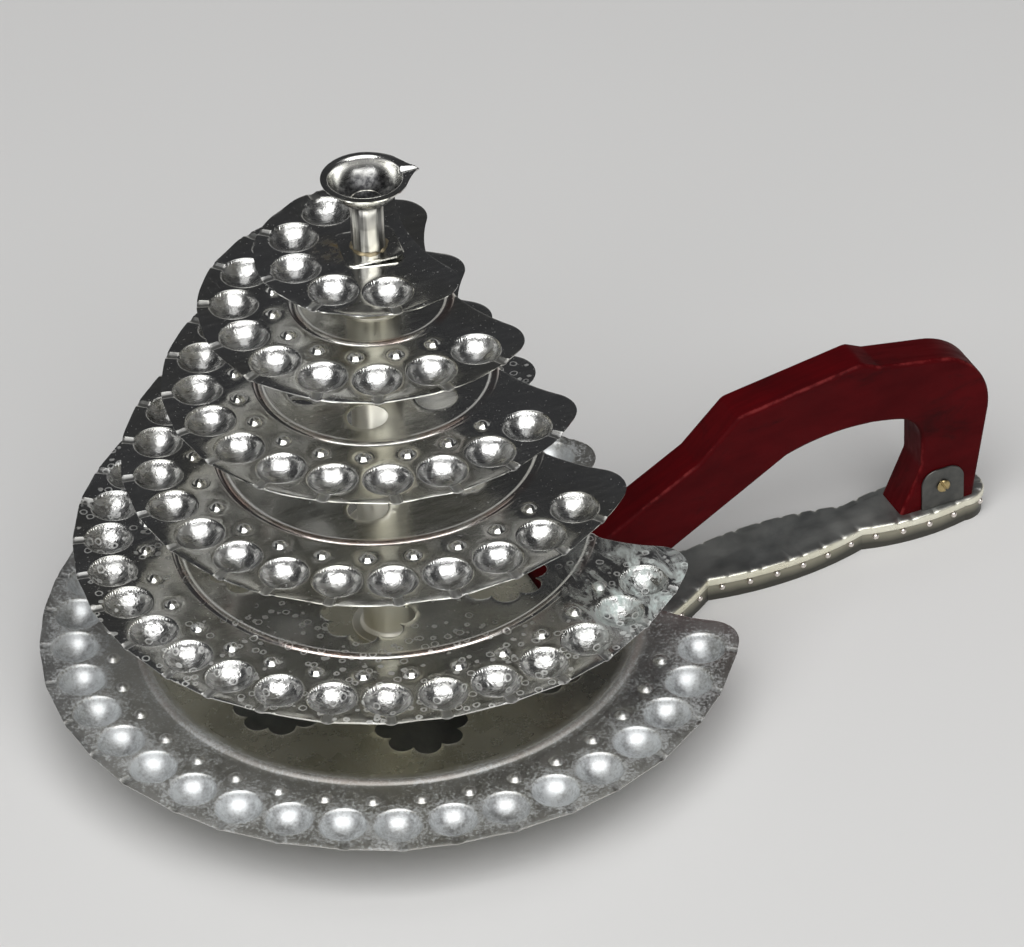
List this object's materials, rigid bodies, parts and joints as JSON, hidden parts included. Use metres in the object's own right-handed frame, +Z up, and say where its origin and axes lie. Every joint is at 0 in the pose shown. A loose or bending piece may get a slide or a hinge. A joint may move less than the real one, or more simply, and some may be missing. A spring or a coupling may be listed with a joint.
{
  "type": "tiered aarti lamp",
  "caption": "Stepped ritual oil lamp: round pressed-metal plates with rims of small cups on one post, a spouted crown lamp on top and a red wooden handle on a scalloped base.",
  "frame": {"origin": "middle of the overall footprint, on the floor", "axes": "+Z up, +X from the stack of plates towards the handle, +Y to the left of that"},
  "size_m": [0.4852, 0.335, 0.2929],
  "materials": {
    "bright_plate": "silver-plated brass sheet, polished to a mirror, with water marks",
    "frosted_plate": "silver-plated brass sheet, frosted and blotched",
    "column_metal": "silver-plated brass tube, polished, slightly tarnished",
    "crown_metal": "silver-plated brass sheet, polished, with yellowish braze stains",
    "base_metal": "dull grey sheet with a worn, brighter edge",
    "stud_metal": "worn silver plate",
    "painted_wood": "deep red gloss paint over wood",
    "bracket_metal": "dull grey sheet",
    "fixing_brass": "turned brass",
    "fixing_steel": "zinc-plated steel"
  },
  "bodies": {
    "stand": {"base_plate": "base_metal", "base_skirt": "base_metal", "skirt_studs": "stud_metal", "column_1": "column_metal", "lamp_plate_1": "frosted_plate", "column_2": "column_metal", "lamp_plate_2": "bright_plate", "column_3": "column_metal", "lamp_plate_3": "bright_plate", "column_4": "column_metal", "lamp_plate_4": "bright_plate", "column_5": "column_metal", "lamp_plate_5": "bright_plate", "column_6": "column_metal", "lamp_plate_6": "bright_plate", "tie_rod": "fixing_steel", "bottom_washer": "fixing_steel", "bottom_nut": "fixing_steel", "top_nut": "fixing_steel", "handle": "painted_wood", "heel_bracket": "bracket_metal", "bracket_screws": "fixing_brass", "toe_screws": "fixing_steel", "heel_screws": "fixing_steel"},
    "crown": {"crown_flange": "crown_metal", "crown_post": "crown_metal", "crown_bush": "fixing_brass", "crown_lamp": "crown_metal"}
  },
  "joints": [
    {"name": "crown_turn", "type": "hinge", "parent": "stand", "child": "crown", "pos_m": [-0.0751, 0, 0.27], "axis": [0, 0, 1], "range_deg": [-180, 180]}
  ]
}
